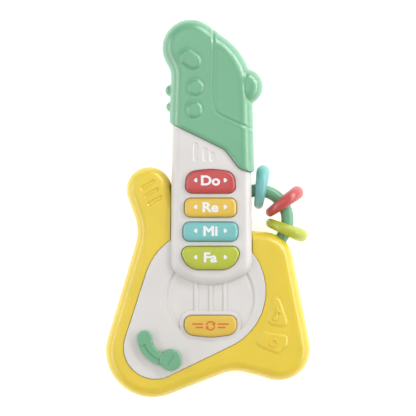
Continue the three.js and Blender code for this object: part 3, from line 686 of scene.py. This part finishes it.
def neck_hollow():
    back = rounded_foot(NECK_BACK + WALL, 4, 4, 4)
    front = rounded_top(NECK_FRONT - WALL, 4, 4, 4)
    wide = stack("hollow", belt(NECK), widened(back + front, -WALL))
    keep(wide, block(-FAR, FAR, -FAR, WIDE_END, -FAR, FAR))
    growth, low, high = SPIGOT_HOLLOW
    return join(wide, stack("hollow", belt(NECK), [(growth, low), (growth, high)]))


def sound_hole_cutter():
    """A shallow round dish with a deeper gutter and a crisp edge round its rim."""
    floor = PLATE_TOP - SOUND_HOLE_DEPTH
    dip = [(-2.6, floor)] + soft_ramp(-2.6, -0.5, floor, -GUTTER, 6)
    rise = soft_ramp(-0.5, 1.0, floor - GUTTER, GUTTER, 6)
    rim = [(1.1, floor + 0.05), (1.1, PLATE_TOP - 0.15), (1.25, PLATE_TOP), (1.25, PLATE_TOP + CLEAR)]
    return stack("cutter", disc(0, 0, SOUND_HOLE, 120), dip + rise + rim)


def pickguard():
    plate = stack("plate", belt(PLATE), [(0, PLATE_BACK)] + rounded_top(PLATE_TOP, 0.6, 0.6, 5))
    cut(plate, sound_hole_cutter())
    for x in STRINGS:
        rib = belt(capsule(x, STRING_LOW, x, STRING_HIGH, STRING_HALF))
        join(plate, stack("rib", rib, [(0, RIB_FOOT)] + rounded_top(PLATE_TOP + 0.1, 0.8, 0.6, 5)))
    bezel = raised("bezel", belt(MODE), (3.0, 0.8), PLATE_TOP, BEZEL_RISE, PLATE_TOP - RIB_FOOT)
    return join(plate, bezel)


def neck_face():
    """Neck face and pickguard, one moulding."""
    plate = pickguard()
    front = neck_solid()
    keep(front, block(-FAR, FAR, -FAR, BEYOND_HEAD, NECK_SEAM + GAP / 2, FAR))
    join(front, plate)
    cutters = [neck_hollow()]
    for outline in KEYS.values():
        cutters.append(hole(belt(grow(outline, GAP)), 22, NECK_FRONT, 0.5))
    cutters.append(hole(belt(grow(MODE, GAP)), 22, PLATE_TOP + BEZEL_RISE, 0.3))
    for x, top in NECK_BARS:
        bar = belt(capsule(x, BAR_LOW, x, top - BAR_HALF, BAR_HALF))
        cutters.append(sunk(bar, (-0.9, 0.3), NECK_FRONT, BAR_DEPTH))
    cutters.append(stack("bore", disc(*LEVER_HUB[:2], 2.7), [(0, 20), (0, 40)]))
    return cut(front, *cutters, arc_way_in_neck())


def neck_rear():
    rear = neck_solid()
    keep(rear, block(-FAR, FAR, -FAR, BEYOND_HEAD, -FAR, NECK_SEAM - GAP / 2))
    well = stack("well", disc(*NECK_SCREW, SCREW_WELL, 32), [(0, -CLEAR), (0, 12)])
    return cut(rear, neck_hollow(), arc_way_in_neck(), well, block(*LEAD_SLOT))


# ---- Headstock cap ----

CAP_VOXEL = 0.5
GROOVE = [(2.1, 180), (1.3, 145), (1.3, 132), (3.4, 123.1), (7.5, 119.7), (17.6, 115), (26.4, 111.6),
          (33, 109.5)]
PADS = [((-15.4, 158.2), (-11.2, 155.5), 4.7), ((-9.8, 138.3), (-9.8, 138.3), 4.9),
        ((-10.6, 123.6), (-10.6, 123.6), 4.9)]  # start, end, radius
PEGS = [(-26.3, 136.9, 3.8), (-26.1, 126, 3.4)]
PEG_BACK, PEG_FRONT = 12.5, 29.5
KNOB = (22.9, 139.4, 11.9)
KNOB_STEP = 0.7  # how far the knob's faces lie below the cap's
KNOB_CREASE = [(26.6, 150.9), (23.6, 146.5), (22.4, 139.4), (23.6, 132.2), (27.2, 127.7)]


def smooth_path(corners, per_span=24):
    """Points on a Catmull-Rom curve through the corners."""
    corners = np.array(corners, float)
    padded = np.vstack([2 * corners[0] - corners[1], corners, 2 * corners[-1] - corners[-2]])
    found = []
    for i in range(1, len(padded) - 2):
        a, b, c, d = padded[i - 1:i + 3]
        for k in range(per_span):
            t = k / per_span
            found.append(0.5 * (2 * b + (c - a) * t + (2 * a - 5 * b + 4 * c - d) * t ** 2
                                + (3 * b - a - 3 * c + d) * t ** 3))
    found.append(padded[-2])
    return np.array(found)


def distance_to_path(places, path):
    nearest = np.full(len(places), np.inf)
    for start, end in zip(path[:-1], path[1:]):
        along = end - start
        share = ((places - start) @ along) / max(along @ along, 1e-12)
        foot = start + np.clip(share, 0, 1)[:, None] * along
        nearest = np.minimum(nearest, np.linalg.norm(places - foot, axis=1))
    return nearest


def ease(value, low, high):
    """A smooth step from 0 at low to 1 at high."""
    share = np.clip((value - low) / (high - low), 0, 1)
    return share * share * (3 - 2 * share)


def bell(away, centre, width):
    """A smooth bump of height 1 round a distance."""
    return np.exp(-((away - centre) / width) ** 2)


def soften(piece, rounds):
    """Melts a piece's creases and applies its modifiers."""
    smooth = piece.modifiers.new("smooth", "SMOOTH")
    smooth.factor = 0.5
    smooth.iterations = rounds
    return apply_modifiers(piece)


def voxel_smooth(piece, voxel, rounds):
    """Remakes the surface in even small faces and melts its creases."""
    remesh = piece.modifiers.new("remesh", "REMESH")
    remesh.mode = "VOXEL"
    remesh.voxel_size = voxel * MM
    return soften(piece, rounds)


def head_cap():
    """A thick rounded cap, cut off slanting at its mouth, with pegs and a knob at its sides."""
    cap_rise = rounded_foot(HEAD_BACK, 8.5, 9.5, 16) + rounded_top(HEAD_TOP, 9.5, 9.5, 20)
    cap = stack("cap", belt(HEAD_CORE), cap_rise)
    mouth_rise = rounded_foot(HEAD_BACK, 2.2, 2.4, 6) + rounded_top(HEAD_TOP, 2.2, 2.4, 8)
    keep(cap, stack("mouth", belt(HEAD_MOUTH), mouth_rise))
    join(cap, *cap_pegs(), cap_knob())
    voxel_smooth(cap, CAP_VOXEL, 4)
    emboss_cap(cap)
    return cut(soften(cap, 2), spigot(GAP))


def cap_pegs():
    rise = rounded_foot(PEG_BACK, 2.4, 3, 6) + rounded_top(PEG_FRONT, 2.4, 3, 6)
    return [stack("peg", belt(capsule(x, y, x + 5, y, radius)), rise) for x, y, radius in PEGS]


def cap_knob():
    rise = rounded_foot(HEAD_BACK + KNOB_STEP, 8.5, 9, 12) + rounded_top(HEAD_TOP - KNOB_STEP, 8.5, 9, 14)
    return stack("knob", disc(*KNOB, 72), rise)


def vertex_vectors(mesh, what):
    values = np.empty(len(mesh.vertices) * 3, np.float32)
    mesh.vertices.foreach_get(what, values)
    return values.reshape(-1, 3).astype(float)


def emboss_cap(cap):
    """Raises the pads and presses the groove and the knob's crease into the front of the cap."""
    mesh = cap.data
    places = vertex_vectors(mesh, "co") / MM
    normals = vertex_vectors(mesh, "normal")
    flat = places[:, :2]
    lift = np.zeros(len(places))
    for start, end, radius in PADS:
        away = distance_to_path(flat, np.array([start, end], float))
        lift += 1 - ease(away, radius - 0.9, radius + 0.4)
        lift -= 0.25 * bell(away, radius + 0.9, 0.7)
    away = distance_to_path(flat, smooth_path(GROOVE))
    lift -= 0.5 * bell(away, 0, 0.7)
    lift += 0.14 * bell(away, 1.6, 0.8)
    away = distance_to_path(flat, smooth_path(KNOB_CREASE))
    lift -= 0.5 * bell(away, 0, 0.6)
    facing = ease(normals[:, 2], 0.0, 0.35)
    places += normals * (lift * facing)[:, None]
    mesh.vertices.foreach_set("co", (places * MM).astype(np.float32).ravel())
    mesh.update()


# ---- Keys, button and their print ----

KEY_LOOKS = {
    "key_do": (RED, "red_plastic", "Do", 77.2),
    "key_re": (AMBER, "amber_plastic", "Re", 59.6),
    "key_mi": (BLUE, "blue_plastic", "Mi", 43.9),
    "key_fa": (LIME, "lime_plastic", "Fa", 26.5),
}  # material, slot, word and the y of the word's middle
CROWN = 0.1  # how far a key's middle stands above its rounded edge
FLANGE = 1.1  # how far the flange under the face reaches out
WORD_HEIGHT = 6.3  # height of a word's capitals
WORD_STRETCH = 1.14
CAPITAL = 0.715  # height of the built-in font's capitals at size 1
WORD_WEIGHT = 0.034  # how much thicker than the font the strokes are, at size 1
MARK_X = 9.9
INK_RISE, INK_DEPTH = 0.05, 0.3
CYCLE_Y = -18.9
CYCLE_RADIUS, CYCLE_HALF, ARROW_HALF = 2.7, 0.5, 1.6
CYCLE_SWEEP, ARROW_SWEEP = -135, -38  # degrees
DASHES = [(5.2, 11.6, 1.15), (5.2, 9.4, -1.1)]  # inner end, outer end, height above the middle
DASH_HALF = 0.52


def key_cap(name, outline, foot, flange, top, across, down):
    """A pressed piece with a rounded edge, a slightly crowned face and a flange at its foot."""
    edge = [(0, foot)] + rounded_top(top - 0.06, across, down, 10)
    edge[-1] = (-across, top)
    crown = [(-across - 0.8, top + 0.06), (-across - 1.9, top + CROWN)]
    cap = stack(name, outline, edge + crown)
    return join(cap, stack("flange", outline, [(FLANGE, foot), (FLANGE, foot + flange)]))


def ink(name, outline, z):
    return stack(name, outline, [(0, z - INK_DEPTH), (0, z + INK_RISE)])


def printed_word(words, x, y, z):
    """Heavy round lettering, flat, with its middle at x, y."""
    curve = bpy.data.curves.new("word", "FONT")
    curve.body = words
    curve.size = 1
    curve.bevel_depth = WORD_WEIGHT
    curve.bevel_resolution = 1
    curve.resolution_u = 8
    source = bpy.data.objects.new("word", curve)
    bpy.context.scene.collection.objects.link(source)
    graph = bpy.context.evaluated_depsgraph_get()
    mesh = bpy.data.meshes.new_from_object(source.evaluated_get(graph))
    bpy.data.objects.remove(source)
    scale = WORD_HEIGHT / CAPITAL
    across = [v.co.x for v in mesh.vertices]
    middle = (min(across) + max(across)) / 2
    for vertex in mesh.vertices:
        px, py, pz = vertex.co
        depth = INK_RISE if pz > -0.001 else -INK_DEPTH
        vertex.co = (MM * (x + WORD_STRETCH * scale * (px - middle)),
                     MM * (y + scale * (py - CAPITAL / 2)), MM * (z + depth))
    weld(mesh)
    piece = bpy.data.objects.new("word", mesh)
    bpy.context.scene.collection.objects.link(piece)
    return piece


def weld(mesh, reach=0.004):
    """Closes the seams between a mesh's faces, where their corners lie on each other."""
    work = bmesh.new()
    work.from_mesh(mesh)
    bmesh.ops.remove_doubles(work, verts=work.verts, dist=reach * MM)
    work.to_mesh(mesh)
    work.free()


def merge(name, pieces):
    """Several meshes as one object, without joining their surfaces."""
    places, faces = [], []
    for piece in pieces:
        first = len(places)
        places += [tuple(c / MM for c in v.co) for v in piece.data.vertices]
        faces += [tuple(first + k for k in face.vertices) for face in piece.data.polygons]
        bpy.data.objects.remove(piece)
    return add_object(name, places, faces)


def side_mark(x, y, z):
    """A small rounded arrow head that points outwards."""
    way = math.copysign(1, x)
    corners = [(x + 0.7 * way, y, 0.4), (x - 0.45 * way, y + 0.65, 0.75), (x - 0.45 * way, y - 0.65, 0.75)]
    if way < 0:
        corners = [corners[0], corners[2], corners[1]]
    return ink("mark", belt(corners), z)


def make_keys():
    face = KEY_TOP + CROWN
    for name, (material, slot, word, y) in KEY_LOOKS.items():
        cap = key_cap(name, belt(KEYS[name]), KEY_FOOT, 2, KEY_TOP, 2.3, 1.9)
        finish_piece(cap, name + "_cap", material, name, slot, name)
        parts = [printed_word(word, 0, y, face)]
        parts += [side_mark(x, y, face) for x in (-MARK_X, MARK_X)]
        finish_piece(merge("print", parts), name + "_print", INK_WHITE, name, slot)


def curved_arrow(y, start, z):
    """An arc of even width with an arrow head at its far end."""
    end = start + CYCLE_SWEEP
    outer = arc_points(0, y, CYCLE_RADIUS + CYCLE_HALF, start, CYCLE_SWEEP, 20)
    inner = arc_points(0, y, CYCLE_RADIUS - CYCLE_HALF, start, CYCLE_SWEEP, 20)
    bow = smooth_outline(counter_clockwise(outer + inner[::-1]))
    corners = arc_points(0, y, CYCLE_RADIUS, end + ARROW_SWEEP, 0, 1)[:1]
    corners += arc_points(0, y, CYCLE_RADIUS + ARROW_HALF, end, 0, 1)[:1]
    corners += arc_points(0, y, CYCLE_RADIUS - ARROW_HALF, end, 0, 1)[:1]
    head = sharp_outline(counter_clockwise(corners))
    return [ink("bow", bow, z), ink("head", head, z)]


def make_mode_button():
    cap = key_cap("mode", belt(MODE), MODE_FOOT, 1.8, MODE_TOP, 2.0, 1.5)
    finish_piece(cap, "mode_button_cap", AMBER, "mode_button", "amber_plastic", "mode_button")
    face = MODE_TOP + CROWN
    parts = curved_arrow(CYCLE_Y, 170, face) + curved_arrow(CYCLE_Y, -10, face)
    for side in (-1, 1):
        for inner, outer, height in DASHES:
            left, right = sorted([side * inner, side * outer])
            dash = capsule(left, CYCLE_Y + height, right, CYCLE_Y + height, DASH_HALF)
            parts.append(ink("dash", belt(dash), face))
    finish_piece(merge("print", parts), "mode_button_print", INK_ORANGE, "mode_button", "amber_plastic")


# ---- Whammy lever ----

LEVER_BEND = (-28.2, -26.1, 15.5)  # the circle that the middle of the lever's arm follows
ARM_START, ARM_END = math.radians(-83), math.radians(-176.3)
ARM_HALF = (3.7, 4.9)  # half width at the hub and at the tip
LEVER_STEP = 0.5  # how far the arm lies below the hub
RECESS_STEP = 1.15  # how far the outer half of the arm lies below the hub
HUB_SLOT_TURN = math.radians(57)
HUB_SLOT_REACH, HUB_SLOT_HALF, HUB_SLOT_DEPTH = 3.4, 0.4, 0.35


def arm_outline(steps=30, tip_steps=16):
    """The arm widens from the hub to its round tip."""
    x, y, radius = LEVER_BEND
    left, right = [], []
    for k in range(steps + 1):
        turn = ARM_START + (ARM_END - ARM_START) * k / steps
        half = ARM_HALF[0] + (ARM_HALF[1] - ARM_HALF[0]) * k / steps
        right.append((x + (radius + half) * math.cos(turn), y + (radius + half) * math.sin(turn)))
        left.append((x + (radius - half) * math.cos(turn), y + (radius - half) * math.sin(turn)))
    tip_x = x + radius * math.cos(ARM_END)
    tip_y = y + radius * math.sin(ARM_END)
    tip = []
    for k in range(1, tip_steps):
        turn = ARM_END - math.pi * k / tip_steps
        tip.append((tip_x + ARM_HALF[1] * math.cos(turn), tip_y + ARM_HALF[1] * math.sin(turn)))
    return smooth_outline(counter_clockwise(right + tip + left[::-1]))


def arm_recess(z):
    """A cutter for the outer half of the arm, which sits a step below the rest."""
    x, y, radius = LEVER_BEND
    inner = arc_points(x, y, radius + 0.1, -100, -62, 24)
    outer = arc_points(x, y, radius + 8, -100, -62, 24)
    ring = counter_clockwise(inner + outer[::-1])
    return stack("recess", sharp_outline(ring), [(0, z), (0, z + 9)])


def make_lever():
    x, y, radius = LEVER_HUB
    foot = [(-0.3, LEVER_BACK), (0, LEVER_BACK + 0.3)]
    arm = stack("arm", arm_outline(), foot + rounded_top(LEVER_TOP - LEVER_STEP, 1.3, 1.3, 7))
    cut(arm, arm_recess(LEVER_TOP - RECESS_STEP))
    hub = stack("hub", disc(x, y, radius, 72), foot + rounded_top(LEVER_TOP, 1.3, 1.3, 7))
    join(arm, hub, stack("shaft", disc(x, y, 2.4, 32), [(0, 28.2), (0, LEVER_BACK + 1)]))
    dx = HUB_SLOT_REACH * math.cos(HUB_SLOT_TURN)
    dy = HUB_SLOT_REACH * math.sin(HUB_SLOT_TURN)
    slot = belt(capsule(x - dx, y - dy, x + dx, y + dy, HUB_SLOT_HALF))
    cut(arm, hole(slot, LEVER_TOP - HUB_SLOT_DEPTH, LEVER_TOP, 0.3),
        stack("bore", disc(x, y, 1.2, 20), [(0, 20), (0, 32)]))
    finish_piece(arm, "whammy_lever_arm", GREEN, "whammy_lever", "green_plastic", "whammy_lever")


# ---- Back: door, switch and screws ----

DOOR_THICK, TAB_THICK = 2, 4
GRIPS = (-3.5, -0.5, 2.5)  # x of the grip grooves
SLIDER_HALF, SLIDER_LOW, SLIDER_HIGH = 2.5, -4.5, 0.5  # the slider's knob, from the switch's middle
SLIDER_LIP = 1.3  # how far the slider's plate reaches past its knob at the sides
SLIDER_BACK, SLIDER_FRONT = 0.5, 3.9
SLIDER_GROOVES = (-3.5, -2.5, -1.5, -0.5)  # y of the knob's grooves, from the switch's middle
GROOVE_HALF, GROOVE_FLOOR = 0.25, 0.9
SCREW_HEAD, SCREW_SHANK = 2.6, 1.15  # radii
SCREW_HEAD_DEEP = 1.7
CROSS_REACH, CROSS_HALF = 1.5, 0.3


def make_battery_cover():
    left, right, low, high = DOOR
    x, y, tab = DOOR_TAB
    foot = rounded_foot(0, 0.4, 0.4, 4)
    plate = belt(rounded_box(left + GAP, right - GAP, low + GAP, high - GAP, 1))
    door = stack("door", plate, foot + [(0, DOOR_THICK)])
    tongue = stack("tab", belt(capsule(right - 4, y, x, y, tab)), foot + [(0, TAB_THICK)])
    cut(tongue, block(right - 9, right + WALL, y - 9, y + 9, DOOR_THICK, 9))
    join(door, tongue)
    grips = [hole_from_back(belt(capsule(grip, -33, grip, -13, 0.6)), 0.7, 0.25) for grip in GRIPS]
    cut(door, *grips, hole_from_back(disc(x, y, SCREW_WELL, 32), 2.4, 0.3),
        stack("bore", disc(x, y, SCREW_BORE, 20), [(0, 1), (0, 9)]))
    finish_piece(door, "battery_cover", YELLOW, "battery_door", "yellow_shell", "battery_door")


def make_switch_knob():
    x, y = SWITCH
    left, right, low, high = x - SLIDER_HALF, x + SLIDER_HALF, y + SLIDER_LOW, y + SLIDER_HIGH
    knob = stack("knob", belt(rounded_box(left, right, low, high, 0.5)),
                 rounded_foot(SLIDER_BACK, 0.35, 0.35, 4) + [(0, 3)])
    join(knob, block(left - SLIDER_LIP, right + SLIDER_LIP, low - 1.2, high + 1.2, WALL + GAP, SLIDER_FRONT))
    cut(knob, *[block(left - 0.5, right + 0.5, y + groove - GROOVE_HALF, y + groove + GROOVE_HALF,
                      0, GROOVE_FLOOR) for groove in SLIDER_GROOVES])
    finish_piece(knob, "switch_knob", BLACK, "power_switch", "black_plastic", "power_switch_slider")


def make_back_screws():
    for i, (x, y) in enumerate(BODY_SCREWS):
        node = f"body_screw_{i + 1}"
        finish_piece(cross_screw(x, y, node), node + "_head", STEEL, "housing", "steel", node)
    x, y, _ = DOOR_TAB
    node = "battery_door_screw"
    finish_piece(cross_screw(x, y, node), node + "_head", STEEL, "battery_door", "steel", node)


def cross_screw(x, y, node):
    """A domed screw with a cross recess in its head, which looks out of the back."""
    low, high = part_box(node)
    foot, tip = low[2] / MM, high[2] / MM
    neck = foot + SCREW_HEAD_DEEP
    dome = [(-1.6, foot), (-0.8, foot + 0.12), (-0.25, foot + 0.5), (0, foot + 0.9), (0, neck)]
    screw = stack("screw", disc(x, y, SCREW_HEAD, 36), dome)
    shank = stack("shank", disc(x, y, SCREW_SHANK, 24), [(0, neck - 0.3), (0, tip - 0.4), (-0.5, tip)])
    join(screw, shank)
    arms = [block(x - across, x + across, y - along, y + along, foot - 1, foot + 1)
            for across, along in ((CROSS_REACH, CROSS_HALF), (CROSS_HALF, CROSS_REACH))]
    return cut(screw, *arms)


# ---- Inner pieces kept from the frame ----

INNER_FINISHES = [
    (RUBBER, ("key_mat", "mode_dome")),
    (BOARD, ("key_circuit_board", "main_circuit_board")),
    (BLACK, ("lever_cam", "lever_switch", "power_switch_body")),
    (PAPER, ("speaker_cone",)),
    (CELL, ("battery_1", "battery_2")),
    (WIRE, ("key_lead", "speaker_lead", "battery_lead", "switch_lead")),
    (STEEL, ("speaker_basket", "speaker_magnet", "battery_bridge", "battery_positive",
             "battery_negative", "lever_screw", "neck_screw", "key_board_screw", "main_board_screw")),
]


def paint_inner_nodes():
    for material, starts in INNER_FINISHES:
        for name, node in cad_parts.items():
            if name.startswith(starts):
                for slot in node.material_slots:
                    slot.material = material


# ---- Studio ----

FLOOR_REACH = 4000
FLOOR_DROP = 0.02  # how far the floor lies below the back, mm
LAMPS = [
    ("left_strip", (-0.75, 0.0, 0.42), 2.6, (1.0, 0.2), (1, 1, 1)),
    ("right_strip", (0.74, 0.1, 0.42), 3.1, (1.0, 0.2), (1, 1, 1)),
    ("top_panel", (0.5, 0.68, 0.44), 2.9, (0.7, 0.2), (1, 1, 1)),
    ("low_fill", (0.05, -0.72, 0.42), 0.5, (1.0, 0.2), (1, 0.6, 0.3)),
    ("overhead", (-0.45, 0.45, 1.8), 4.3, (1.2, 1.2), (1, 1, 1)),
]  # name, place in metres, watts, size in metres, colour
LAMP_AIM = (0, 0.06, 0.02)
SENSOR = 36
CAMERA_PLACE = (-1.65, 58.9, 1600)
VIEW_WIDTH = 275.4  # width of the picture where the front of the toy is
VIEW_LEVEL = 30  # the height at which it is that wide


def make_floor():
    far = FLOOR_REACH
    floor = add_object("floor", [(-far, -far, 0), (far, -far, 0), (far, far, 0), (-far, far, 0)],
                       [(0, 1, 2, 3)])
    floor.location.z = -FLOOR_DROP * MM
    material, _, shader = new_material("floor_paper")
    shader.inputs["Base Color"].default_value = (0.93, 0.93, 0.93, 1)
    shader.inputs["Roughness"].default_value = 0.9
    shader.inputs["Emission Color"].default_value = (1, 1, 1, 1)
    shader.inputs["Emission Strength"].default_value = 0.6
    floor.data.materials.append(material)


def make_world():
    world = bpy.data.worlds.new("studio")
    world.use_nodes = True
    background = world.node_tree.nodes["Background"]
    background.inputs["Color"].default_value = (1, 1, 1, 1)
    background.inputs["Strength"].default_value = 0.41
    bpy.context.scene.world = world


def make_lamps():
    aim = Vector(LAMP_AIM)
    for name, place, power, size, colour in LAMPS:
        light = bpy.data.lights.new(name, "AREA")
        light.shape = "RECTANGLE"
        light.size, light.size_y = size
        light.energy = power
        light.color = colour
        lamp = bpy.data.objects.new(name, light)
        lamp.location = place
        lamp.rotation_euler = (aim - Vector(place)).to_track_quat("-Z", "Y").to_euler()
        bpy.context.scene.collection.objects.link(lamp)


def make_camera():
    """A long lens straight above the front, as in the photograph."""
    lens = bpy.data.cameras.new("camera")
    lens.sensor_width = SENSOR
    lens.lens = SENSOR * (CAMERA_PLACE[2] - VIEW_LEVEL) / VIEW_WIDTH
    lens.clip_end = 20
    camera = bpy.data.objects.new("camera", lens)
    camera.location = [MM * c for c in CAMERA_PLACE]
    bpy.context.scene.collection.objects.link(camera)
    bpy.context.scene.camera = camera
    bpy.context.scene.view_settings.view_transform = "Standard"


make_floor()
make_world()
make_lamps()
make_camera()
finish_piece(body_shell_front(), "body_front", YELLOW, "housing", "yellow_shell", "body_front_shell")
finish_piece(body_shell_rear(), "body_rear", YELLOW, "housing", "yellow_shell", "body_rear_shell")
finish_piece(neck_face(), "neck_face", WHITE, "housing", "white_shell", "neck_face_plate")
finish_piece(neck_rear(), "neck_back", WHITE, "housing", "white_shell", "neck_rear_shell")
finish_piece(head_cap(), "headstock_cap", SOFT_GREEN, "housing", "soft_green", "headstock_teether", sharp=60)
make_keys()
make_mode_button()
make_lever()
make_rattle()
make_battery_cover()
make_switch_knob()
make_back_screws()
paint_inner_nodes()
